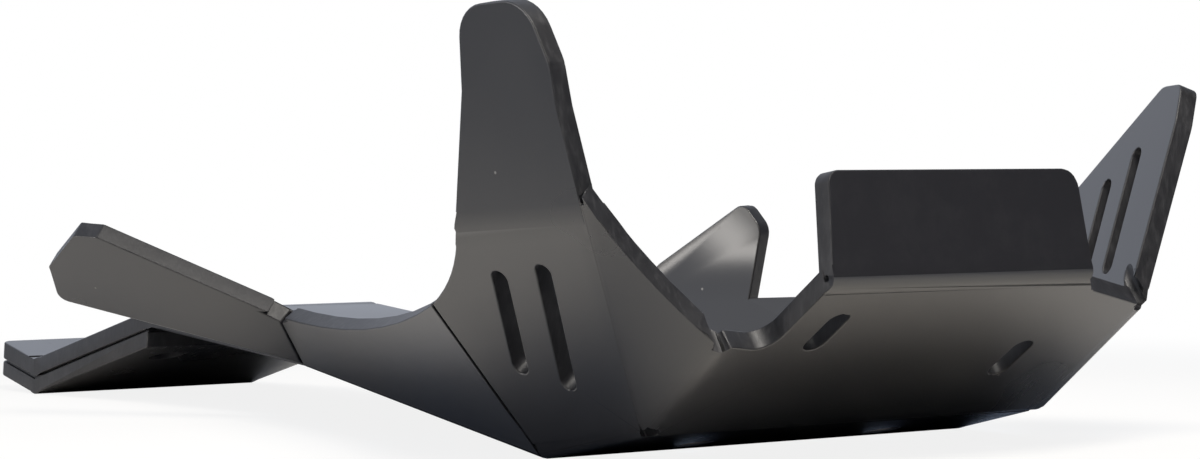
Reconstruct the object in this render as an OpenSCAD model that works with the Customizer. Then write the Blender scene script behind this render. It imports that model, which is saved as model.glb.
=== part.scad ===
// Motorcycle skid plate: one thick plastic sheet, cut, grooved and folded.
// X points forward, Y to the left of the machine, Z up. The origin lies on the
// underside of the flat belly, on the centre line, halfway along the belly.

/* [Sheet] */
// Thickness of the sheet
sheet_t = 8; // [5:0.5:10]
// Width of the closed groove left on the outside of an outward fold
groove_w = 1; // [0.6:0.1:1.4]
// Radius of the round relief at the end of a fold
relief_r = 3.5; // [2.5:0.5:5]

/* [Belly] */
// Length of the flat belly along the machine
belly_len = 350; // [310:5:390]
// Width of the belly at its front fold
belly_w = 214; // [190:2:230]
// Width of the belly where the side panels end
waist_w = 120; // [100:2:140]
// Distance from the front fold back to the waist
waist_back = 225; // [205:5:240]

/* [Nose and front plate] */
// Length of the sloping nose strip
nose_len = 60; // [52:1:70]
// Rise of the nose strip above the belly
nose_angle = 17; // [12:1:22]
// Inset of the left edge of the nose at its front
nose_inset = 13; // [7:1:19]
// Diameter of the two holes in the nose
nose_hole_d = 14.5; // [10:0.5:18]
// Distance between the two nose holes
nose_hole_gap = 97; // [80:1:110]
// Distance from the belly forward to the nose holes
nose_hole_run = 17; // [12:1:26]
// Length of the front plate up its slope
front_len = 94.5; // [86:0.5:104]
// Slope of the front plate above the belly
front_angle = 41; // [34:1:48]
// Width of the upright flange
flange_w = 131; // [110:1:140]
// Height of the upright flange
flange_h = 38; // [28:1:48]
// Lean of the flange back from upright
flange_lean = 15; // [8:1:22]
// Offset of the flange centre to the right of the centre line
flange_shift = 24; // [18:1:30]
// Height of the right fold up the front plate
facet_h = 58.5; // [50:0.5:66]
// Height of the left fold up the front plate
left_fold_h = 74; // [66:1:82]
// Width of the two slotted holes in the front plate
front_slot_w = 9.5; // [7:0.5:12]
// Distance between the end centres of a slotted hole
front_slot_run = 14; // [8:1:18]
// Distance of the right slotted hole from the centre line
front_slot_right = 69.5; // [60:0.5:78]
// Height of the right slotted hole up the front plate
front_slot_right_h = 65; // [55:1:75]
// Distance of the left slotted hole from the centre line
front_slot_left = 44; // [34:1:56]
// Height of the left slotted hole up the front plate
front_slot_left_h = 40; // [28:1:52]

/* [Right wing] */
// Outward lean of the lower wing, as its bend up from the nose strip
wing_bend = 56.5; // [50:0.5:62]
// Height of the lower wing up to its upper bend
wing_h = 94; // [86:1:102]
// Bend of the tongue inward from the lower wing
tongue_bend = 24; // [16:1:30]
// Height of the tongue above its bend
tongue_h = 79; // [66:1:90]
// Width of the tongue at its top
tongue_w = 47; // [42:1:54]
// Width of the long slots in the wings
wing_slot_w = 7; // [5:0.5:9]
// Slope of the long slots
wing_slot_tilt = 61; // [56:1:66]
// Distance from the belly forward to the foot of the front slot
wing_slot_foot = 40; // [36:1:44]
// Height of the foot of the front slot
wing_slot_h = 26; // [20:1:32]
// Distance between the end centres of the front slot
wing_slot_run = 50; // [40:1:54]
// Distance from the belly forward to the foot of the rear slot
rear_slot_foot = 21; // [18:1:24]
// Height of the foot of the rear slot
rear_slot_h = 37; // [32:1:42]
// Distance between the end centres of the rear slot
rear_slot_run = 40; // [32:1:42]

/* [Left wing] */
// Bend of the left wing up from the front plate
left_bend = 61.5; // [54:0.5:68]
// Length of the left wing out from its fold
left_len = 84; // [74:1:94]
// Distance the left wing reaches up past its fold
left_rise = 41; // [34:1:48]
// Distance between the end centres of a slot of the left wing
left_slot_run = 46; // [36:1:50]
// Distance between the two slots of the left wing along the fold
left_slot_gap = 22; // [16:1:26]

/* [Side panels] */
// Bend of a side panel up from the belly
side_bend = 52.5; // [46:0.5:58]
// Height of a side panel at its rear end
side_rear_h = 27; // [22:1:32]
// Height of a side panel at its front end
side_front_h = 69; // [62:1:76]
// Length of a rear wing
rear_wing_len = 110; // [94:1:124]
// Width of a rear wing
rear_wing_w = 38; // [30:1:44]
// Bend of a rear wing outward from its side panel
rear_wing_bend = 30; // [22:1:36]
// Distance from the waist forward to the rear end of the tab
tab_start = 50; // [40:1:60]
// Distance from the waist forward to the front end of the tab
tab_stop = 103; // [94:1:114]
// Height of the tab above its bend
tab_h = 44; // [34:1:54]
// Bend of the tab inward from the left side panel
tab_bend = 38; // [30:1:46]

/* [Tail guard] */
// Length of the sloping guard
guard_len = 105; // [90:1:120]
// Width of the guard
guard_w = 120; // [100:2:140]
// Slope of the guard down to the rear
guard_angle = 20.5; // [14:0.5:26]
// Length of the tail behind the guard
tail_len = 41; // [31:1:50]
// Rise of the tail to the rear
tail_angle = 4; // [0:0.5:8]
// Thickness of the second layer under the guard
layer_t = 8; // [5:0.5:10]
// Diameter of the bolt hole through the guard and its second layer
guard_hole_d = 16; // [10:0.5:18]
// Distance of the guard's bolt hole to the right of the centre line
guard_hole_side = 36; // [24:1:44]
// Distance from the belly back to the guard's bolt hole
guard_hole_run = 29; // [20:1:60]

/* [Hidden] */
$fn = 64;
half_t = sheet_t / 2;
// A fold's filling stays this far inside the faces beside it, so that they never graze
hair = 0.05;
// How far a fold's filling reaches into the panels on its two sides
fold_grip = 1;
arc_steps = 7;
cut_h = 4 * sheet_t;
keyhole_r = 1.4;
keyhole_depth = 10;
// Width and depth of the open mouth of the right rear fold's groove
mouth_w = 8;
mouth_depth = 3;
groove_depth = 0.8 * sheet_t;
// How far a groove runs past both ends of its fold
groove_over = 2;
// Radii of the cut corners, from the tightest to the widest
tight = 3;
small = 5;
medium = 8;
wide = 16;

// Vectors
function unit(v) = v / norm(v);

// A frame is [origin, along the fold, away from the fold, out of the sheet].
// It lies in the middle of the sheet's thickness.
function at(f, p) = f[0] + p[0] * f[1] + p[1] * f[2];
function local(f, p) = [(p - f[0]) * f[1], (p - f[0]) * f[2]];
function bend(f, a, b, turn) =
    let (
        along = unit(at(f, b) - at(f, a)),
        away = cross(f[3], along)
    )
    [at(f, a), along,
     cos(turn) * away - sin(turn) * f[3],
     cos(turn) * f[3] + sin(turn) * away];
function turn_to(f, a, b, target) =
    let (
        along = unit(at(f, b) - at(f, a)),
        d = target - at(f, a)
    )
    atan2(-(d * f[3]), d * cross(f[3], along));

// An outline is a list of [x, y, radius]; a radius above 0 rounds the corner
function corner(p, q, s, r) =
    let (
        u = unit(p - q),
        v = unit(s - q),
        half = acos(u * v) / 2,
        middle = q + unit(u + v) * r / sin(half),
        start = q + u * r / tan(half),
        stop = q + v * r / tan(half),
        a0 = atan2(start[1] - middle[1], start[0] - middle[0]),
        a1 = atan2(stop[1] - middle[1], stop[0] - middle[0]),
        sweep = (a1 - a0 + 540) % 360 - 180
    )
    [for (i = [0 : arc_steps])
        middle + r * [cos(a0 + sweep * i / arc_steps), sin(a0 + sweep * i / arc_steps)]];
function xy(p) = [p[0], p[1]];
function rounded(pts) =
    let (n = len(pts))
    [for (i = [0 : n - 1])
        each (pts[i][2] > 0
            ? corner(xy(pts[(i + n - 1) % n]), xy(pts[i]), xy(pts[(i + 1) % n]), pts[i][2])
            : [xy(pts[i])])];

// Points between a and b on a bow that stands off the straight line by sag
function bow(a, b, sag) =
    let (
        run = b - a,
        side = unit([-run[1], run[0]])
    )
    [for (i = [1 : arc_steps])
        let (k = i / (arc_steps + 1))
        [(a + k * run + 4 * k * (1 - k) * sag * side)[0],
         (a + k * run + 4 * k * (1 - k) * sag * side)[1], 0]];

// Belly
belly = [[0, 0, half_t], [0, 1, 0], [1, 0, 0], [0, 0, -1]];
belly_half = belly_w / 2;
waist_half = waist_w / 2;
front_x = belly_len / 2;
waist_x = front_x - waist_back;
guard_half = guard_w / 2;
belly_outline = [
    [belly_half, front_x], [-belly_half, front_x], [-waist_half, waist_x],
    [4 * hair - guard_half, -front_x], [guard_half - 4 * hair, -front_x], [waist_half, waist_x]
];

// Nose strip, from the belly's front fold
nose = bend(belly, [0, front_x], [1, front_x], nose_angle);
nose_right = [-belly_half, nose_len];
nose_left = [belly_half - nose_inset, nose_len];
nose_outline = [[-belly_half, 0], [belly_half, 0], nose_left, nose_right];

// Front plate, with the flange at its top
front = bend(nose, [0, nose_len], [1, nose_len], front_angle - nose_angle);
flange_x0 = -flange_shift - flange_w / 2;
flange_x1 = -flange_shift + flange_w / 2;
facet_foot = [nose_right[0], 0];
// How far the two side folds lean over their height
fold_lean = 6;
facet_head = [nose_right[0] - fold_lean, facet_h];
left_foot = [nose_left[0], 0];
left_head = [nose_left[0] - fold_lean, left_fold_h];
// The bottom of the notch between the right fold and the flange
notch = [flange_x0 - medium, facet_h - tight];
shoulder = [flange_x1 + medium, front_len - medium];
front_outline = rounded([
    [facet_foot[0], facet_foot[1], 0], [facet_head[0], facet_head[1], 0],
    [notch[0], notch[1], 0], [flange_x0, notch[1], medium],
    [flange_x0, front_len, 0], [flange_x1, front_len, 0],
    [shoulder[0], shoulder[1], small], [left_head[0], left_head[1], 0],
    [left_foot[0], left_foot[1], 0]
]);
flange_bend = 90 + flange_lean - front_angle;
flange = bend(front, [0, front_len], [1, front_len], flange_bend);
flange_taper = 3;
flange_outline = rounded([
    [flange_x0, 0, 0], [flange_x0 + flange_taper, flange_h, small],
    [flange_x1 - flange_taper, flange_h, medium], [flange_x1, 0, 0]
]);

// Right wing, its tongue, and the facet that ties it to the front plate
wing = bend(nose, [-belly_half, 0], nose_right, wing_bend);
// How far the wing reaches ahead of the nose strip, where it meets the facet
wing_reach = 46;
// Length of the tongue's fold, and how far the fold drops to the front
tongue_fold = 66;
tongue_drop = 11;
// How far the wing's rear edge curves down from the tongue's fold
wing_fall = 24;
// How deep a curved edge bows in
edge_bow = 3;
wing_tip = [nose_len + wing_reach, wing_h];
wing_bend_front = [wing_tip[0] - 2 * tight, wing_h - tongue_drop];
wing_bend_rear = [wing_bend_front[0] - tongue_fold, wing_h];
wing_rear = [-tight, wing_h - wing_fall];
wing_outline = concat(
    rounded([[0, 0, 0], [nose_len, 0, 0], [wing_tip[0], wing_tip[1], 0],
             [wing_bend_front[0], wing_bend_front[1], 0],
             [wing_bend_rear[0], wing_bend_rear[1], 0]]),
    [for (p = bow(wing_bend_rear, wing_rear, edge_bow)) xy(p)],
    [wing_rear]
);
tongue = bend(wing, wing_bend_rear, wing_bend_front, tongue_bend);
tongue_run = norm(wing_bend_front - wing_bend_rear);
tongue_x1 = tongue_run - small;
tongue_x0 = tongue_x1 - tongue_w;
tongue_outline = rounded([
    [0, 0, 0], [tongue_run, 0, 0], [tongue_x1, tongue_h / 2, 0],
    [tongue_x1, 0.7 * tongue_h, wide], [tongue_x1 - medium, tongue_h, wide],
    [tongue_x0 + small, tongue_h, wide - tight], [tongue_x0, 0.62 * tongue_h, 0],
    [tongue_x0 - medium, 0.28 * tongue_h, 2 * wide]
]);
facet_bend = turn_to(front, facet_foot, facet_head, at(wing, wing_tip));
facet = bend(front, facet_foot, facet_head, facet_bend);
facet_run = norm(facet_head - facet_foot);
facet_tip = local(facet, at(wing, wing_tip));
facet_outline = concat(
    [[0, 0], [facet_run, 0]],
    [for (p = bow([facet_run, 0], facet_tip, edge_bow)) xy(p)],
    [facet_tip]
);

// Left wing, folded up from the front plate alone
left_run = norm(left_head - left_foot);
left_wing = bend(front, left_head, left_foot, left_bend);
left_outline = rounded([
    [0, 0, 0], [left_run, 0, 0], [left_run - medium, left_len - small, wide - small],
    [wide - tight - left_rise, left_len + tight, medium], [-left_rise, 0.93 * left_len, small],
    [small - left_rise, 0.74 * left_len, wide]
]);

// Side panels, one on each side of the belly; x runs forward from the waist
side_run = norm([belly_half - waist_half, waist_back]);
// How far the two ends of a side panel lean in over its height
side_lean = 11;
side_rear = [side_lean, side_rear_h];
side_front = [side_run - side_lean, side_front_h];
side_slope = (side_front_h - side_rear_h) / (side_run - 2 * side_lean);
tab_drop = 2 * tight;
tab_front = [tab_stop, side_rear_h + side_slope * (tab_stop - side_lean) - tab_drop];
tab_rear = [tab_start, side_rear_h + side_slope * (tab_start - side_lean) - tab_drop / 2];
right_side = bend(belly, [-waist_half, waist_x], [-belly_half, front_x], side_bend);
left_side = bend(belly, [belly_half, front_x], [waist_half, waist_x], side_bend);
right_side_outline = concat(
    [[0, 0], [side_run, 0], side_front],
    [for (p = bow(side_front, side_rear, 3 * edge_bow)) xy(p)],
    [side_rear]
);
left_side_outline = concat(
    [[0, 0], [side_run, 0], side_front],
    [for (p = bow(side_front, tab_front, edge_bow)) xy(p)],
    [tab_front, tab_rear, side_rear]
);

// The left side panel is the right one turned over
function turned(p) = [side_run - p[0], p[1]];

// Rear wings, folded outward from the rear ends of the side panels
rear_fold = norm(side_rear);
right_rear = bend(right_side, [0, 0], side_rear, -rear_wing_bend);
left_rear = bend(left_side, turned(side_rear), [side_run, 0], -rear_wing_bend);
rear_tip = [0.28 * rear_wing_len, rear_wing_len];
rear_outline = rounded([
    [0, 0, 0], [rear_tip[0], rear_tip[1], small],
    [rear_tip[0] + 0.56 * rear_wing_w, rear_tip[1] - small, tight],
    [rear_tip[0] + 1.1 * rear_wing_w, rear_tip[1] - 0.7 * rear_wing_w, tight],
    [rear_tip[0] + 1.1 * rear_wing_w, rear_tip[1] - rear_wing_w, tight],
    [rear_fold, 0, 0]
]);

// Tab on the left side panel, folded upright
tab = bend(left_side, turned(tab_front), turned(tab_rear), tab_bend);
tab_run = norm(tab_front - tab_rear);
tab_outline = rounded([
    [0, 0, 0], [-medium, 0.74 * tab_h, medium], [1, tab_h, small],
    [tab_run - small, 0.36 * tab_h, medium], [tab_run, 0, 0]
]);

// Guard that slopes down behind the belly, and the tail that levels out again
guard = bend(belly, [0, -front_x], [-1, -front_x], -guard_angle);
tail = bend(guard, [0, guard_len], [1, guard_len], guard_angle + tail_angle);
tail_taper = 6;
tail_end = at(tail, [0, tail_len])[0];

// A point of the side view: x runs back along f, depth out from the sheet's outer face
function side_point(f, x, depth) =
    let (p = at(f, [0, x]) + (half_t + depth) * f[3])
    [p[0], p[2]];
// Where the faces of the guard and the tail at one depth cross
function knee(depth) =
    side_point(guard, guard_len + (half_t + depth) * tan((guard_angle + tail_angle) / 2), depth);

// The guard and the tail between two depths, with all free edges inset, and nothing in
// front of a given place
module guard_body(top, bottom, inset, front) {
    side = guard_half - inset;
    end = tail_end + inset;
    intersection() {
        translate([0, guard_w, 0])
        rotate([90, 0, 0])
        linear_extrude(2 * guard_w)
        polygon([
            side_point(guard, inset, top), knee(top), side_point(tail, tail_len + cut_h, top),
            side_point(tail, tail_len + cut_h, bottom), knee(bottom), side_point(guard, inset, bottom)
        ]);
        translate([0, 0, -guard_len])
        linear_extrude(2 * guard_len)
        polygon(rounded([
            [front, side, 0], [end + tail_len, side, 0], [end, side - tail_taper, small],
            [end, tail_taper - side, small], [end + tail_len, -side, 0], [front, -side, 0]
        ]));
    }
}

// Seams, where two panels that are not folded from one another meet along an edge
function seam(a, b, panel) = [a, unit(b - a), cross(panel[3], unit(b - a)), panel[3]];
function seam_turn(from, seam) = atan2(-(from[3] * seam[2]), from[3] * seam[3]);
seam_foot = at(nose, nose_right);
seam_top = at(wing, wing_tip);
facet_seam = seam(seam_top, seam_foot, facet);
belly_corner = at(belly, [-belly_half, front_x]);
side_seam = seam(belly_corner, at(wing, wing_rear), right_side);
side_seam_run = norm(at(wing, wing_rear) - belly_corner);
facet_seam_run = norm(seam_top - seam_foot);

module in_frame(f)
    translate(f[0])
    rotate([atan2(f[2][2], f[3][2]), -asin(f[1][2]), atan2(f[1][1], f[1][0])])
    children();

module panel(f, outline)
    in_frame(f)
    translate([0, 0, -half_t])
    linear_extrude(sheet_t) polygon(outline);

// The rounded filling of a fold, along x from x0 to x1, on the side that opens. Where
// folds meet at a corner, each has its own depth, in hairs.
module elbow(f, x0, x1, turn, depth = 1) {
    t = abs(turn);
    fold_r = half_t - depth * hair;
    inward = -fold_grip * [cos(t), sin(t)];
    step = t / arc_steps;
    arc = [for (i = [0.5 : arc_steps - 0.5]) fold_r / cos(step / 2) * [-sin(i * step), cos(i * step)]];
    last = fold_r * [-sin(t), cos(t)];
    in_frame(f)
    mirror([0, 0, turn < 0 ? 1 : 0])
    translate([x0 + depth * hair, 0, 0])
    rotate([90, 0, 90])
    linear_extrude(x1 - x0 - 2 * depth * hair)
    polygon(concat([[fold_grip, 0], [fold_grip, fold_r]], arc, [last + inward, inward]));
}

module round_hole(f, p, d)
    in_frame(f)
    translate([p[0], p[1], -cut_h / 2])
    cylinder(d = d, h = cut_h);

// A slot that starts at p, with the distance between its end centres, its slope and width
module slot(f, p, run, slope, w)
    in_frame(f)
    translate([p[0], p[1], -cut_h / 2])
    rotate([0, 0, slope]) {
        cylinder(d = w, h = cut_h);
        translate([run, 0, 0]) cylinder(d = w, h = cut_h);
        translate([0, -w / 2, 0]) cube([run, w, cut_h]);
    }

// The closed groove on the outside of an outward fold, halfway between its panels
module closed_groove(f, run, turn)
    in_frame(f)
    rotate([turn / 2, 0, 0])
    translate([-groove_over, -groove_w / 2, half_t - groove_depth])
    cube([run + 2 * groove_over, groove_w, sheet_t + groove_depth]);

// The open mouth of a milled groove, where it runs out through the top edge
module groove_mouth(f, run, turn)
    in_frame(f)
    rotate([turn / 2, 0, 0])
    translate([run, 0, -sheet_t])
    linear_extrude(2 * sheet_t)
    polygon([[-mouth_depth, 0], [mouth_depth, -mouth_w], [mouth_depth, mouth_w]]);

// The round root of a milled groove, seen on the cut edge at the end of a fold
module keyhole(f, x)
    in_frame(f)
    translate([x, 0, 0])
    rotate([0, 90, 0]) cylinder(r = keyhole_r, h = keyhole_depth, center = true);

// Slotted holes of the front plate, one high on the right and one lower on the left
front_slots = [[-front_slot_right, front_slot_right_h], [front_slot_left, front_slot_left_h]];
// A long slot, as the centre of its foot, the distance between its end centres and its slope
wing_slots = [
    [[wing_slot_foot, wing_slot_h], wing_slot_run, wing_slot_tilt],
    [[rear_slot_foot, rear_slot_h], rear_slot_run, wing_slot_tilt]
];
left_slot_foot = [0.2 * left_run, 0.3 * left_len];
left_slots = [for (i = [0, 1])
    [left_slot_foot + [i * left_slot_gap, 0], left_slot_run, 180 - wing_slot_tilt]];
guard_hole = [guard_hole_side, guard_hole_run];

module sheet_panels() {
    panel(belly, belly_outline);
    panel(nose, nose_outline);
    panel(front, front_outline);
    panel(flange, flange_outline);
    panel(wing, wing_outline);
    panel(tongue, tongue_outline);
    panel(facet, facet_outline);
    panel(left_wing, left_outline);
    panel(right_side, right_side_outline);
    panel(left_side, [for (p = left_side_outline) turned(p)]);
    panel(right_rear, rear_outline);
    panel(left_rear, [for (p = rear_outline) [rear_fold - p[0], p[1]]]);
    panel(tab, tab_outline);
    guard_body(-sheet_t, 0, 0, 0);
}

module sheet_folds() {
    elbow(nose, -belly_half, belly_half, nose_angle);
    elbow(front, nose_right[0], nose_left[0], front_angle - nose_angle);
    elbow(flange, flange_x0, flange_x1, flange_bend);
    elbow(wing, 0, nose_len, wing_bend, 2);
    elbow(tongue, 0, tongue_run, tongue_bend, 3);
    elbow(facet, relief_r, facet_run - relief_r, facet_bend, 3);
    elbow(left_wing, relief_r, left_run, left_bend, 2);
    elbow(right_side, 0, side_run, side_bend, 3);
    elbow(left_side, 0, side_run, side_bend, 3);
    elbow(right_rear, 0, rear_fold, -rear_wing_bend, 2);
    elbow(left_rear, 0, rear_fold, -rear_wing_bend, 2);
    elbow(tab, 0, tab_run, tab_bend);
    elbow(guard, -guard_half, guard_half, -guard_angle);
    elbow(facet_seam, relief_r, facet_seam_run - relief_r, seam_turn(wing, facet_seam), 4);
    elbow(side_seam, 0, side_seam_run, seam_turn(wing, side_seam), 4);
}

module sheet_cuts() {
    for (side = [-1, 1]) round_hole(nose, [side * nose_hole_gap / 2, nose_hole_run], nose_hole_d);
    for (p = front_slots) slot(front, p - [0, front_slot_run / 2], front_slot_run, 90, front_slot_w);
    for (s = wing_slots) slot(wing, s[0], s[1], s[2], wing_slot_w);
    for (s = left_slots) slot(left_wing, s[0], s[1], s[2], wing_slot_w);
    round_hole(guard, guard_hole, guard_hole_d);
    for (p = [facet_foot, facet_head, left_head]) round_hole(front, p, 2 * relief_r);
    for (x = [flange_x0, flange_x1]) keyhole(flange, x);
    for (x = [0, tongue_run]) keyhole(tongue, x);
    closed_groove(right_rear, rear_fold, -rear_wing_bend);
    closed_groove(left_rear, rear_fold, -rear_wing_bend);
    groove_mouth(right_rear, rear_fold, -rear_wing_bend);
    closed_groove(side_seam, side_seam_run, seam_turn(wing, side_seam));
}

module folded_sheet()
    color("#26262a")
    difference() {
        union() {
            sheet_panels();
            sheet_folds();
        }
        sheet_cuts();
    }

// A second layer of the same stock under the guard and the tail. Its upper half is
// inset, which leaves the dark line between the two. It starts behind the fold, so that
// none of it lies under the belly.
layer_step = 1.2;
layer_gap = 2;
layer_front = -front_x - layer_gap;

module guard_layer()
    color("#202024")
    difference() {
        union() {
            guard_body(0, layer_t / 2, layer_step, layer_front - layer_step);
            guard_body(layer_step, layer_t, 0, layer_front);
        }
        round_hole(guard, guard_hole, guard_hole_d);
    }

folded_sheet();
guard_layer();
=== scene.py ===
"""Motorcycle skid plate: one thick black plastic sheet, cut, grooved and folded.

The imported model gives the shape. Each of its nodes is dressed by a skin: the same
shape, welded and with its cut rims rounded over, whose faces are sorted into the
moulded face of the sheet, its milled rims and the dull face of the flange.
"""

import logging
import math
from collections.abc import Iterator
from dataclasses import dataclass, field
from enum import Enum
from itertools import combinations
from typing import Any, ClassVar

import bmesh
import bpy
import numpy as np
from mathutils import Matrix, Vector

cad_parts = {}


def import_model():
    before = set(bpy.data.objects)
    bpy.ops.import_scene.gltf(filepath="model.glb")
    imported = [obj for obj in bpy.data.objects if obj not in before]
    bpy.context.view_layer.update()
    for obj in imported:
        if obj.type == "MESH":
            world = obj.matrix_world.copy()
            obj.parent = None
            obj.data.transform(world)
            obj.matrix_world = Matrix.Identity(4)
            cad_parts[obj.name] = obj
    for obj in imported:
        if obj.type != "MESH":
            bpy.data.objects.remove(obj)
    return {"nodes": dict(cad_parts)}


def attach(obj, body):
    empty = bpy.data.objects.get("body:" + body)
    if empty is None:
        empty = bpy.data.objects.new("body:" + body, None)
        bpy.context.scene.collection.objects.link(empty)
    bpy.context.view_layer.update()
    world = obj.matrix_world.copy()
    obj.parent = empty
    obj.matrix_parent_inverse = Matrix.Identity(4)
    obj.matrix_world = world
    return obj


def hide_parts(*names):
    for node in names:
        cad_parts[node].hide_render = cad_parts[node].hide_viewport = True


frame: dict[str, Any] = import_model()

LOG = logging.getLogger("skid_plate")
MM = 0.001
SHEET = 8 * MM
Tone = tuple[float, float, float, float]
Place = tuple[float, float, float]
Pair = tuple[float, float]


class Signal:
    """A shader socket that can be used in arithmetic, which adds Math nodes."""

    def __init__(self, graph: "Graph", socket: bpy.types.NodeSocket) -> None:
        """Keeps the graph and the output socket that carries the value."""
        self.graph = graph
        self.socket = socket

    def _math(self, operation: str, *values: "Signal | float") -> "Signal":
        """Adds a Math node.

        Args:
            operation: The Math node's operation.
            values: Its inputs, in order.

        Returns:
            The node's result.
        """
        return self.graph.node("ShaderNodeMath", {"operation": operation}, dict(enumerate(values)))

    def __add__(self, other: "Signal | float") -> "Signal":
        """self + other."""
        return self._math("ADD", self, other)

    def __radd__(self, other: float) -> "Signal":
        """other + self."""
        return self._math("ADD", other, self)

    def __sub__(self, other: "Signal | float") -> "Signal":
        """self - other."""
        return self._math("SUBTRACT", self, other)

    def __rsub__(self, other: float) -> "Signal":
        """other - self."""
        return self._math("SUBTRACT", other, self)

    def __mul__(self, other: "Signal | float") -> "Signal":
        """self * other."""
        return self._math("MULTIPLY", self, other)

    def __rmul__(self, other: float) -> "Signal":
        """other * self."""
        return self._math("MULTIPLY", other, self)

    def step(self, low: float, high: float) -> "Signal":
        """A smooth step.

        Args:
            low: Where it starts from 0.
            high: Where it reaches 1.

        Returns:
            The step's value.
        """
        settings = {"interpolation_type": "SMOOTHSTEP"}
        inputs = {"Value": self, "From Min": low, "From Max": high}
        return self.graph.node("ShaderNodeMapRange", settings, inputs)

    def size(self) -> "Signal":
        """The value without its sign."""
        return self._math("ABSOLUTE", self)


class Graph:
    """The node tree of one material or of the world."""

    def __init__(self, tree: bpy.types.NodeTree) -> None:
        """Starts with an empty tree."""
        tree.nodes.clear()
        self.tree = tree

    def node(
        self,
        kind: str,
        settings: dict[str, Any] | None = None,
        inputs: dict[str | int, Any] | None = None,
        output: str | int = 0,
    ) -> Signal:
        """Adds one node.

        Args:
            kind: The node's type.
            settings: Its own settings, set before its sockets.
            inputs: Values or signals for its input sockets.
            output: The output socket that is returned.

        Returns:
            The chosen output as a signal.
        """
        made = self.tree.nodes.new(kind)
        for name, value in (settings or {}).items():
            setattr(made, name, value)
        for key, value in (inputs or {}).items():
            if isinstance(value, Signal):
                self.tree.links.new(value.socket, made.inputs[key])
            else:
                made.inputs[key].default_value = value
        return Signal(self, made.outputs[output]) if made.outputs else Signal(self, made.inputs[0])

    def place(self, scale: Place = (1, 1, 1)) -> Signal:
        """The object's own coordinates, in metres, stretched by scale."""
        coordinates = self.node("ShaderNodeTexCoord", output="Object")
        return self.node("ShaderNodeMapping", inputs={"Vector": coordinates, "Scale": scale})

    def noise(self, place: Signal, size: float, detail: float = 2.0, rough: float = 0.5) -> Signal:
        """Soft noise between 0 and 1, whose blobs are about size metres across."""
        inputs = {"Vector": place, "Scale": 1 / size, "Detail": detail, "Roughness": rough}
        return self.node("ShaderNodeTexNoise", inputs=inputs)

    def mix(self, share: Signal | float, low: Any, high: Any) -> Signal:
        """The colour low where share is 0 and high where it is 1."""
        return self.node("ShaderNodeMix", {"data_type": "RGBA"}, {0: share, 6: low, 7: high}, 2)

    def blend(self, share: Signal, low: Signal, high: Signal) -> Signal:
        """The shader low where share is 0 and high where it is 1."""
        return self.node("ShaderNodeMixShader", inputs={0: share, 1: low, 2: high})

    def bump(self, height: Signal, strength: float) -> Signal:
        """The normal of a surface with the given height in metres.

        Args:
            height: The height.
            strength: How much of it shows, from 0 to 1.

        Returns:
            The normal.
        """
        inputs = {"Strength": strength, "Distance": 1.0, "Height": height}
        return self.node("ShaderNodeBump", inputs=inputs)

    def plastic(self, colour: Signal, rough: Signal, normal: Signal, bend: float) -> None:
        """Ends the tree with a plastic surface.

        Args:
            colour: Its base colour.
            rough: Its roughness.
            normal: Its normal.
            bend: Its index of refraction.
        """
        inputs = {"Base Color": colour, "Roughness": rough, "Normal": normal, "IOR": bend}
        self.surface(self.node("ShaderNodeBsdfPrincipled", inputs=inputs))

    def surface(self, shader: Signal) -> None:
        """Ends the tree.

        Args:
            shader: What the surface or the world shows.
        """
        world = self.tree.id_data in list(bpy.data.worlds)
        kind = "ShaderNodeOutputWorld" if world else "ShaderNodeOutputMaterial"
        self.node(kind, inputs={"Surface": shader})


def tone(red: float, green: float, blue: float) -> Tone:
    """An opaque colour from its three linear parts."""
    return (red, green, blue, 1.0)


def new_material(name: str) -> tuple[bpy.types.Material, Graph]:
    """Makes a new material.

    Args:
        name: The material's name.

    Returns:
        The material and its empty graph.
    """
    made = bpy.data.materials.new(name)
    made.use_nodes = True
    return made, Graph(made.node_tree)


class Zone(Enum):
    """The kinds of surface on the sheet, numbered as their material slots."""

    FACE = 0
    RIM = 1
    DULL = 2


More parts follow.
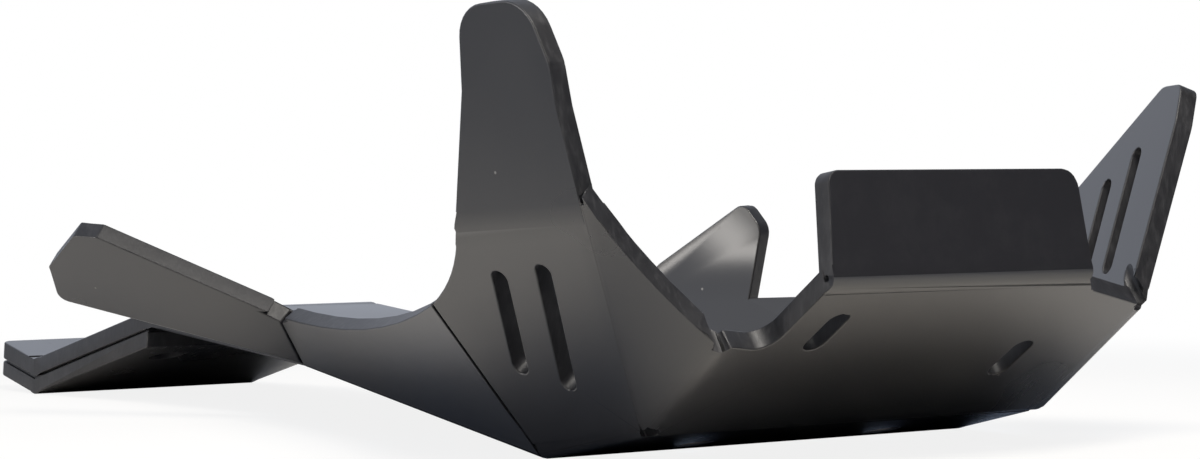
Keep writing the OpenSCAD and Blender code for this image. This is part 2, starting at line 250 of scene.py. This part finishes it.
@dataclass(frozen=True)
class SheetFace:
    """The smooth satin face of the sheet, with waves, fine grain, scuffs and dust.

    Sizes and heights are in metres. Each pair is where a pattern starts and where it
    is full, as values of its noise or, for the dust's specks, of its distance.
    """

    name: str = "sheet_face"
    base: Tone = tone(0.022, 0.022, 0.024)
    worn: Tone = tone(0.030, 0.029, 0.029)
    dust: Tone = tone(0.35, 0.34, 0.32)
    gloss: float = 0.27
    scuffed: float = 0.36
    bend: float = 1.65
    cloud: float = 0.12
    cloudy: Pair = (0.35, 0.7)
    scratch: float = 0.05
    scratch_stretch: Place = (4.0, 26.0, 4.0)
    scratched: Pair = (0.60, 0.76)
    specks: float = 60.0
    speck: Pair = (0.02, 0.045)
    drift: float = 0.02
    drifted: Pair = (0.60, 0.66)
    wave: float = 0.09
    wave_height: float = 0.0009
    grain: float = 0.0016
    grain_height: float = 0.000012

    def material(self) -> bpy.types.Material:
        """Builds the material.

        Returns:
            The material.
        """
        made, graph = new_material(self.name)
        place = graph.place()
        cloud = graph.noise(place, self.cloud, 3.0).step(*self.cloudy)
        stretched = graph.place(self.scratch_stretch)
        scratch = graph.noise(stretched, self.scratch, 4.0, 0.7).step(*self.scratched)
        inputs = {"Vector": place, "Scale": self.specks}
        speck = graph.node("ShaderNodeTexVoronoi", {"feature": "F1"}, inputs)
        dust = (1 - speck.step(*self.speck)) * graph.noise(place, self.drift).step(*self.drifted)
        colour = graph.mix(cloud * 0.5 + scratch * 0.5, self.base, self.worn)
        colour = graph.mix(dust * 0.6, colour, self.dust)
        rough = self.gloss + (self.scuffed - self.gloss) * (cloud * 0.5 + scratch * 0.6)
        height = graph.noise(place, self.wave, 1.0) * self.wave_height
        height = height + graph.noise(place, self.grain, 2.0) * self.grain_height
        graph.plastic(colour, rough, graph.bump(height, 0.6), self.bend)
        return made


@dataclass(frozen=True)
class MilledRim:
    """A cut rim of the sheet: duller, a little paler, with the cutter's fine marks."""

    name: str = "milled_rim"
    base: Tone = tone(0.009, 0.009, 0.011)
    pale: Tone = tone(0.034, 0.034, 0.037)
    gloss: float = 0.42
    bend: float = 1.48
    pitch: float = 0.0022
    pitch_stretch: Place = (1.0, 1.0, 0.25)
    marked: Pair = (0.45, 0.8)
    depth: float = 0.00018
    blotch: float = 0.012
    blotched: Pair = (0.4, 0.75)

    def material(self) -> bpy.types.Material:
        """Builds the material.

        Returns:
            The material.
        """
        made, graph = new_material(self.name)
        marks = graph.noise(graph.place(self.pitch_stretch), self.pitch, 2.0, 0.6)
        blotch = graph.noise(graph.place(), self.blotch, 2.0).step(*self.blotched)
        colour = graph.mix(marks.step(*self.marked) * 0.6 + blotch * 0.3, self.base, self.pale)
        rough = self.gloss + marks * 0.2
        graph.plastic(colour, rough, graph.bump(marks * self.depth, 0.5), self.bend)
        return made


@dataclass(frozen=True)
class DullFace:
    """The flat, dull face of the flange, rubbed by handling."""

    name: str = "dull_face"
    base: Tone = tone(0.013, 0.013, 0.016)
    rubbed: Tone = tone(0.017, 0.017, 0.020)
    gloss: float = 0.6
    bend: float = 1.3
    rub: float = 0.02
    rubbing: Pair = (0.4, 0.7)
    grain: float = 0.0012
    grain_height: float = 0.00003

    def material(self) -> bpy.types.Material:
        """Builds the material.

        Returns:
            The material.
        """
        made, graph = new_material(self.name)
        place = graph.place()
        rub = graph.noise(place, self.rub, 4.0, 0.6).step(*self.rubbing)
        height = graph.noise(place, self.grain, 2.0) * self.grain_height
        colour = graph.mix(rub, self.base, self.rubbed)
        graph.plastic(colour, self.gloss - rub * 0.08, graph.bump(height, 0.6), self.bend)
        return made


@dataclass(frozen=True)
class Fold:
    """A soft fold between two panels of one side of the sheet.

    It is a straight line, the two panels' outward normals, the ways into them from
    the line, and how far the fold's roundness reaches into each of them.
    """

    # A panel's edge is the fold's within NEAR of the line, and a panel may pass the line by PAST.
    NEAR: ClassVar[float] = 5.5 * MM
    PAST: ClassVar[float] = 2 * MM
    SHORTEST: ClassVar[float] = 12 * MM
    # How closely a face shares a panel's normal, as a cosine, and its plane.
    SAME: ClassVar[float] = 0.9999
    LEVEL: ClassVar[float] = 0.1 * MM
    # A groove's wall: how near the line it lies, its least area, and how squarely it crosses.
    GROOVE: ClassVar[float] = 6 * MM
    WALL: ClassVar[float] = 40 * MM * MM
    SQUARE: ClassVar[float] = 0.9
    # The strips that round the fold: how near they lie, how far inside its ends, how large
    # for its length, and how little they face along it.
    STRIP: ClassVar[float] = 4.2 * MM
    INSIDE: ClassVar[float] = 0.5 * MM
    NARROW: ClassVar[float] = 0.3
    ALONG: ClassVar[float] = 0.3
    # A fold's corner: how far out from the line and how far from its end it reaches.
    CORNER: ClassVar[Pair] = (5 * MM, 6 * MM)
    # Normals turn this far past the ends and the reach, where they lean at most this much
    # past a panel's and this much along the line.
    MARGIN: ClassVar[float] = 4 * MM
    OVER: ClassVar[float] = 1.02
    LEAN: ClassVar[float] = 0.06
    TWIST: ClassVar[float] = 0.15

    point: np.ndarray
    along: np.ndarray
    ends: Pair
    normals: tuple[np.ndarray, np.ndarray]
    inward: tuple[np.ndarray, np.ndarray]
    reach: float

    @classmethod
    def between(cls, one: bmesh.types.BMFace, other: bmesh.types.BMFace, reach: float) -> "Fold | None":
        """The fold of two panels, if both have an edge where their planes cross.

        Its line runs along the product of the two normals, through the point where
        the two planes meet the plane across the line at the first panel's middle.

        Args:
            one: The first panel.
            other: The second panel.
            reach: How far the roundness reaches.

        Returns:
            The fold, or None where the two aren't neighbours.
        """
        first, second = np.array(one.normal), np.array(other.normal)
        along = np.cross(first, second)
        along /= np.linalg.norm(along)
        planes = np.array([first, second, along])
        middle = np.array(one.calc_center_median())
        starts = [np.array(face.verts[0].co) for face in (one, other)]
        offsets = np.array([first @ starts[0], second @ starts[1], along @ middle])
        point = np.linalg.solve(planes, offsets)
        spans, inward = [], []
        for face, normal in ((one, first), (other, second)):
            away = np.array([vert.co for vert in face.verts]) - point
            side = np.cross(normal, along)
            depth = away @ side
            if depth.mean() < 0:
                side, depth = -side, -depth
            near = (away @ along)[np.abs(depth) < cls.NEAR]
            if depth.min() < -cls.PAST or len(near) < 2 or np.ptp(near) < cls.SHORTEST:
                return None
            spans.append((near.min(), near.max()))
            inward.append(side)
        low, high = max(span[0] for span in spans), min(span[1] for span in spans)
        if high - low < cls.SHORTEST:
            return None
        return cls(point, along, (low, high), (first, second), (inward[0], inward[1]), reach)

    def sides(self) -> Iterator[tuple[np.ndarray, np.ndarray]]:
        """The two panels, each as its normal and the way into it from the fold."""
        return zip(self.normals, self.inward)

    def carries(self, face: bmesh.types.BMFace, normal: np.ndarray) -> bool:
        """Whether a face lies in one of the fold's two planes."""
        same = float(normal @ np.array(face.normal)) > self.SAME
        return same and abs(float(normal @ (np.array(face.verts[0].co) - self.point))) < self.LEVEL

    def milled(self, work: bmesh.types.BMesh) -> bool:
        """Whether a milled groove runs in the line, seen by its walls.

        Args:
            work: The welded shape.

        Returns:
            True where a wall large enough stands across the two panels, close to the line.
        """
        across = self.inward[1] - self.inward[0]
        across /= np.linalg.norm(across)
        for face in work.faces:
            run, away = self.beside(face.calc_center_median())
            close = np.linalg.norm(away) < self.GROOVE and self.ends[0] < run < self.ends[1]
            square = abs(float(across @ np.array(face.normal))) > self.SQUARE
            if close and square and face.calc_area() > self.WALL:
                return True
        return False

    def beside(self, place: np.ndarray) -> tuple[float, np.ndarray]:
        """Splits a place's way from the fold's point.

        Args:
            place: The place.

        Returns:
            Its run along the fold, and the rest, which points straight out from the line.
        """
        away = np.array(place) - self.point
        run = float(away @ self.along)
        return run, away - run * self.along

    def ends_at(self, place: np.ndarray) -> bool:
        """Whether a place is close to one of the fold's two ends.

        Args:
            place: The place.

        Returns:
            True in a corner of the fold.
        """
        run, away = self.beside(place)
        out, past = self.CORNER
        return np.linalg.norm(away) < out and min(abs(run - end) for end in self.ends) < past

    def fills(self, face: bmesh.types.BMFace) -> bool:
        """Whether a face is one of the narrow strips that round the fold.

        Args:
            face: The face.

        Returns:
            True for a small face in the line, which faces across it.
        """
        run, away = self.beside(face.calc_center_median())
        low, high = self.ends
        inside = low + self.INSIDE < run < high - self.INSIDE and np.linalg.norm(away) < self.STRIP
        small = face.calc_area() < self.NARROW * SHEET * (high - low + SHEET)
        return inside and small and abs(self.along @ np.array(face.normal)) < self.ALONG

    def turned(self, places: np.ndarray, normals: np.ndarray, panel: np.ndarray) -> np.ndarray:
        """Normals that turn from the first panel's to the second's over the fold's reach.

        The turn follows a smooth step of the signed distance from the line, which is
        below 0 in the first panel and above 0 in the second.

        Args:
            places: The corners' places, one in each row.
            normals: Their normals.
            panel: Whether each corner belongs to a panel and not to a rim.

        Returns:
            The normals, changed only beside the fold.
        """
        away = places - self.point
        run = away @ self.along
        away = away - run[:, None] * self.along
        first, second = self.normals
        # In a shallow fold each panel's way in measures the same distance, so their
        # difference is divided by nearly 2, and in a square one by 1.
        signed = away @ self.inward[1] - away @ self.inward[0]
        signed /= 1 + max(-float(self.inward[0] @ self.inward[1]), 0.0)
        share = np.clip((signed + self.reach) / (2 * self.reach), 0, 1)
        share = (share * share * (3 - 2 * share))[:, None]
        blend = (1 - share) * first + share * second
        blend /= np.linalg.norm(blend, axis=1, keepdims=True)
        middle = (first + second) / np.linalg.norm(first + second)
        far = np.linalg.norm(away, axis=1)
        near = far < self.OVER * self.reach
        near &= (run > self.ends[0] - self.MARGIN) & (run < self.ends[1] + self.MARGIN)
        near &= (normals @ middle > first @ middle - self.LEAN) | (panel & (far < self.STRIP))
        near &= np.abs(normals @ self.along) < self.TWIST
        return np.where(near[:, None], blend, normals)


@dataclass
class Skin:
    """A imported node's own shape, welded, with its cut rims rounded over.

    A face of the node is a rim where its area over its outline is under half the
    sheet's thickness, because a rim is a long strip as wide as the sheet is thick.

    A panel is a face over panel in area that isn't a rim. Two panels that turn by
    between least_turn and most_turn may make a soft fold, softness wide on each side,
    and the panels are cut beside it at the shares scores of that width.
    """

    node: str
    name: str
    slot: str
    finishes: tuple[bpy.types.Material, ...]
    thickness: float = SHEET
    round_over: float = 0.7 * MM
    weld: float = 0.25 * MM
    flat: float = math.radians(1.5)
    speck: float = 3 * MM * MM
    crease: float = math.radians(40)
    panel: float = 300 * MM * MM
    softness: float = 7 * MM
    scores: Pair = (0.4, 1.0)
    hair: float = 0.01 * MM
    least_turn: float = math.radians(8)
    most_turn: float = math.radians(80)
    dull_normal: Vector | None = None
    dull_same: float = 0.999

    def welded(self) -> bmesh.types.BMesh:
        """Welds the node's shape, closes its slits and makes its flat faces whole.

        Returns:
            The shape.
        """
        work = bmesh.new()
        work.from_mesh(frame["nodes"][self.node].data)
        bmesh.ops.remove_doubles(work, verts=work.verts, dist=self.weld)
        bmesh.ops.dissolve_degenerate(work, edges=work.edges, dist=self.weld)
        bmesh.ops.holes_fill(work, edges=[edge for edge in work.edges if edge.is_boundary])
        bmesh.ops.dissolve_limit(work, angle_limit=self.flat, verts=work.verts, edges=work.edges)
        work.normal_update()
        return work

    def zone(self, face: bmesh.types.BMFace) -> Zone:
        """The kind of surface that a face is, by its area over its outline and its normal.

        Args:
            face: The face.

        Returns:
            Its zone.
        """
        around = sum(edge.calc_length() for edge in face.edges)
        if face.calc_area() < 0.5 * self.thickness * around:
            return Zone.RIM
        dull = self.dull_normal is not None and face.normal.dot(self.dull_normal) > self.dull_same
        return Zone.DULL if dull else Zone.FACE

    def rims(self, work: bmesh.types.BMesh, folds: list[Fold]) -> list[bmesh.types.BMEdge]:
        """The outward creases to round over: those of faces that are large enough.

        Args:
            work: The shape.
            folds: The soft folds, whose ends are left as they are.

        Returns:
            The edges.
        """
        pairs = [(edge, edge.link_faces) for edge in work.edges if len(edge.link_faces) == 2]
        return [
            edge
            for edge, faces in pairs
            if min(face.calc_area() for face in faces) > self.speck
            and edge.calc_face_angle_signed() > self.crease
            and not any(fold.ends_at(vert.co) for fold in folds for vert in edge.verts)
        ]

    def folds(self, work: bmesh.types.BMesh) -> list[Fold]:
        """Finds the soft folds: two panels that meet along a line with no groove in it.

        Args:
            work: The welded shape, before any of its edges is rounded.

        Returns:
            The folds, those of the outer side and of the inner side apart.
        """
        plain = [face for face in work.faces if face.material_index != Zone.RIM.value]
        panels = [face for face in plain if face.calc_area() > self.panel]
        found = []
        for one, other in combinations(panels, 2):
            if not self.least_turn < one.normal.angle(other.normal) < self.most_turn:
                continue
            fold = Fold.between(one, other, self.softness)
            if fold is not None and not fold.milled(work):
                found.append(fold)
        return found

    def scored(self, work: bmesh.types.BMesh, folds: list[Fold]) -> None:
        """Cuts the panels along lines beside each fold, so that shading can turn there.

        Args:
            work: The shape, which is changed.
            folds: The soft folds.
        """
        for fold in folds:
            for normal, inward in fold.sides():
                for share in self.scores:
                    faces = [face for face in work.faces if fold.carries(face, normal)]
                    edges = {edge for face in faces for edge in face.edges}
                    verts = {vert for face in faces for vert in face.verts}
                    bmesh.ops.bisect_plane(
                        work,
                        geom=[*faces, *edges, *verts],
                        dist=self.hair,
                        plane_co=Vector(fold.point) + Vector(inward) * fold.reach * share,
                        plane_no=Vector(inward),
                    )

    def build(self) -> bpy.types.Object:
        """Makes the piece, dresses it and puts it in the node's place.

        Returns:
            The piece.
        """
        work = self.welded()
        for face in work.faces:
            face.material_index = self.zone(face).value
        folds = self.folds(work)
        for fold in folds:
            for face in work.faces:
                if fold.fills(face):
                    face.material_index = Zone.FACE.value
        self.scored(work, folds)
        bmesh.ops.bevel(
            work,
            geom=self.rims(work, folds),
            offset=self.round_over,
            offset_type="OFFSET",
            segments=2,
            profile=0.5,
            affect="EDGES",
            clamp_overlap=False,
            miter_outer="SHARP",
            material=-1,
        )
        mesh = bpy.data.meshes.new(self.name)
        work.to_mesh(mesh)
        work.free()
        for finish in self.finishes:
            mesh.materials.append(finish)
        mesh.shade_smooth()
        mesh.set_sharp_from_angle(angle=self.crease)
        piece = bpy.data.objects.new(self.name, self.shaded(mesh, folds))
        bpy.context.scene.collection.objects.link(piece)
        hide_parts(self.node)
        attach(piece, "root")
        LOG.info("%s: %d faces, %d soft folds", self.name, len(piece.data.polygons), len(folds))
        return piece

    def shaded(self, mesh: bpy.types.Mesh, folds: list[Fold]) -> bpy.types.Mesh:
        """Gives each panel its plane's normal, which turns smoothly at each fold.

        Args:
            mesh: The finished shape.
            folds: The soft folds.

        Returns:
            The same shape with its own normals.
        """
        model = bpy.data.objects.new("model", mesh)
        bpy.context.scene.collection.objects.link(model)
        even = model.modifiers.new("even_normals", "WEIGHTED_NORMAL")
        even.keep_sharp = True
        even.weight = 100
        ready = model.evaluated_get(bpy.context.evaluated_depsgraph_get())
        made = bpy.data.meshes.new_from_object(ready)
        made.name = self.name
        bpy.data.objects.remove(model)
        count = len(made.loops)
        normals = np.empty(count * 3, np.float32)
        made.corner_normals.foreach_get("vector", normals)
        normals = normals.reshape(-1, 3).astype(float)
        at = np.empty(count, np.int32)
        made.loops.foreach_get("vertex_index", at)
        places = np.empty(len(made.vertices) * 3, np.float32)
        made.vertices.foreach_get("co", places)
        places = places.reshape(-1, 3)[at].astype(float)
        zones = np.empty(len(made.polygons), np.int32)
        made.polygons.foreach_get("material_index", zones)
        sizes = np.empty(len(made.polygons), np.int32)
        made.polygons.foreach_get("loop_total", sizes)
        panel = np.repeat(zones != Zone.RIM.value, sizes)
        shifts = (fold.turned(places, normals, panel) - normals for fold in folds)
        normals += sum(shifts, np.zeros_like(normals))
        normals /= np.linalg.norm(normals, axis=1, keepdims=True)
        made.normals_split_custom_set(normals.tolist())
        return made


@dataclass(frozen=True)
class Stand:
    """The pale floor, tilted as the plate rests: on its front fold and the guard's crest.

    It is white for the camera, but for a share of its shadow, real and painted. In the
    plate's reflections its colour is a painted pool of light near the plate, with painted
    shade far away and a painted shadow right under it. Each pair of numbers is where
    such a change starts and where it ends.
    """

    rest_x: float = 0.175
    tilt: float = math.radians(5.75)
    reach: float = 6.0
    # Painted light: the floor's colour near the plate, a pool of light seen in reflections.
    colour: Tone = tone(0.84, 0.81, 0.76)
    # Painted shade: the floor's colour far away and right under the plate, seen in reflections.
    dim: Tone = tone(0.13, 0.16, 0.22)
    whiteness: float = 0.86
    clear: Pair = (0.35, 0.8)
    # Distances from the origin over which the painted light fades into painted shade.
    lit: Pair = (0.23, 0.75)
    # The painted shadow under the plate: where it ends in front, and over what width beside the plate's
    # outline it fades, widening forwards by taper.
    front: Pair = (0.20, 0.28)
    width: Pair = (0.06, 0.145)
    taper: float = 0.36

    def turn(self) -> Matrix:
        """The tilt of the floor about the front fold."""
        pivot = Matrix.Translation((self.rest_x, 0, 0))
        return pivot @ Matrix.Rotation(-self.tilt, 4, "Y") @ pivot.inverted()

    def material(self) -> bpy.types.Material:
        """Builds the floor's material.

        Returns:
            The material.
        """
        made, graph = new_material("floor_with_painted_light")
        place = graph.place()
        seen = graph.node("ShaderNodeLightPath", output="Is Camera Ray")
        away = graph.node("ShaderNodeVectorMath", {"operation": "LENGTH"}, {0: place}, "Value")
        # Near the plate the camera sees a share of the floor's real shadow and its painted shade.
        seen = seen * (self.whiteness + (1 - self.whiteness) * away.step(*self.clear))
        # A painted shadow right under the plate, following its outline: under is 1 there and 0 outside.
        forward = graph.node("ShaderNodeSeparateXYZ", inputs={0: place}, output="X")
        across = graph.node("ShaderNodeSeparateXYZ", inputs={0: place}, output="Y").size()
        beside = (across - forward * self.taper).step(*self.width)
        under = (1 - forward.step(*self.front)) * (1 - beside)
        near = graph.node("ShaderNodeBsdfDiffuse", inputs={"Color": self.colour})
        far = graph.node("ShaderNodeBsdfDiffuse", inputs={"Color": self.dim})
        # Painted light and shade: the lit colour near the plate, painted shade far away and the painted
        # shadow under the plate.
        painted_light_and_shadow = graph.blend(away.step(*self.lit) + under, near, far)
        white = graph.node("ShaderNodeEmission", inputs={"Color": tone(1, 1, 1), "Strength": 1.0})
        graph.surface(graph.blend(seen, painted_light_and_shadow, white))
        return made

    def build(self) -> bpy.types.Object:
        """Makes the floor, which is stage and not part of the object.

        Returns:
            The floor.
        """
        square = np.array([(-1, -1, 0), (1, -1, 0), (1, 1, 0), (-1, 1, 0)], float) * self.reach
        mesh = bpy.data.meshes.new("floor")
        mesh.from_pydata(square.tolist(), [], [(0, 1, 2, 3)])
        mesh.transform(self.turn())
        mesh.materials.append(self.material())
        floor = bpy.data.objects.new("floor", mesh)
        bpy.context.scene.collection.objects.link(floor)
        return floor


@dataclass(frozen=True)
class Softbox:
    """A square area lamp that looks at a point of the plate."""

    name: str
    place: Place
    aim: Place
    side: float
    power: float
    colour: Place

    def build(self) -> bpy.types.Object:
        """Makes the lamp.

        Returns:
            The lamp's object.
        """
        lamp = bpy.data.lights.new(self.name, "AREA")
        lamp.shape = "SQUARE"
        lamp.size = self.side
        lamp.energy = self.power
        lamp.color = self.colour
        made = bpy.data.objects.new(self.name, lamp)
        bpy.context.scene.collection.objects.link(made)
        turn = (Vector(self.aim) - Vector(self.place)).to_track_quat("-Z", "Y")
        made.matrix_world = Matrix.Translation(self.place) @ turn.to_matrix().to_4x4()
        return made


@dataclass
class Studio:
    """The camera, the pale surroundings and the lamps.

    The eye's place and its two directions are in the frame. The focal length, the
    centre and the image's size are in the photograph's pixels.
    """

    floor: Stand = field(default_factory=Stand)
    eye: Place = (1.25155, -0.95852, 0.22621)
    right: Place = (0.685864, 0.724437, 0.069148)
    up: Place = (-0.112951, 0.012105, 0.993527)
    focal: float = 3702.87
    centre: Pair = (913.23, 209.75)
    image: tuple[int, int] = (1200, 459)
    sensor: float = 36.0
    back: Place = (-1.0, 0.0, 0.1)
    sky: Tone = tone(0.88, 0.94, 1.08)
    least_sky: float = 0.04
    more_sky: float = 0.86
    sky_rise: Pair = (-0.5, 0.9)
    lamps: tuple[Softbox, ...] = ()

    def camera(self) -> None:
        """Makes the camera at the photograph's viewing angle."""
        data = bpy.data.cameras.new("camera")
        data.sensor_fit = "HORIZONTAL"
        data.sensor_width = self.sensor
        width, height = self.image
        data.lens = self.focal * self.sensor / width
        data.shift_x = (width / 2 - self.centre[0]) / width
        data.shift_y = (self.centre[1] - height / 2) / width
        right, up = Vector(self.right).normalized(), Vector(self.up).normalized()
        turn = Matrix((right, up, right.cross(up))).transposed().to_4x4()
        made = bpy.data.objects.new("camera", data)
        made.matrix_world = Matrix.Translation(self.eye) @ turn
        bpy.context.scene.collection.objects.link(made)
        bpy.context.scene.camera = made

    def world(self) -> None:
        """Makes the surroundings: pale behind the plate and dim on the camera's side."""
        world = bpy.data.worlds.new("surroundings")
        world.use_nodes = True
        bpy.context.scene.world = world
        graph = Graph(world.node_tree)
        ray = graph.node("ShaderNodeTexCoord", output="Generated")
        inputs = {0: ray, 1: self.back}
        share = graph.node("ShaderNodeVectorMath", {"operation": "DOT_PRODUCT"}, inputs, "Value")
        light = self.least_sky + self.more_sky * share.step(*self.sky_rise)
        seen = graph.node("ShaderNodeLightPath", output="Is Camera Ray")
        around = graph.node("ShaderNodeBackground", inputs={"Color": self.sky, "Strength": light})
        white = graph.node("ShaderNodeBackground", inputs={"Color": tone(1, 1, 1), "Strength": 1.0})
        graph.surface(graph.blend(seen, around, white))

    def build(self) -> None:
        """Makes all of it."""
        bpy.context.scene.view_settings.view_transform = "Standard"
        self.camera()
        self.world()
        self.floor.build()
        for lamp in self.lamps:
            lamp.build()


def main() -> None:
    """Builds the skins and the studio."""
    logging.basicConfig(level=logging.INFO, format="%(name)s: %(message)s")
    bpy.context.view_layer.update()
    finishes = tuple(kind().material() for kind in (SheetFace, MilledRim, DullFace))
    lean = math.radians(15)
    flange = Vector((math.cos(lean), 0, math.sin(lean)))
    skins = (
        Skin("folded_sheet", "sheet_skin", "sheet", finishes, dull_normal=flange),
        Skin("guard_layer", "layer_skin", "layer", finishes),
    )
    for skin in skins:
        skin.build()
    ceiling = Softbox(
        name="ceiling",
        place=(0.70, -0.25, 1.05),
        aim=(0.1, -0.05, 0.0),
        side=0.45,
        power=18.0,
        colour=(1.0, 0.96, 0.90),
    )
    window = Softbox(
        name="window",
        place=(-1.0, -3.8, 0.35),
        aim=(0.0, 0.0, 0.05),
        side=1.2,
        power=56.0,
        colour=(1.0, 0.96, 0.91),
    )
    Studio(lamps=(ceiling, window)).build()


if __name__ == "__main__":
    main()
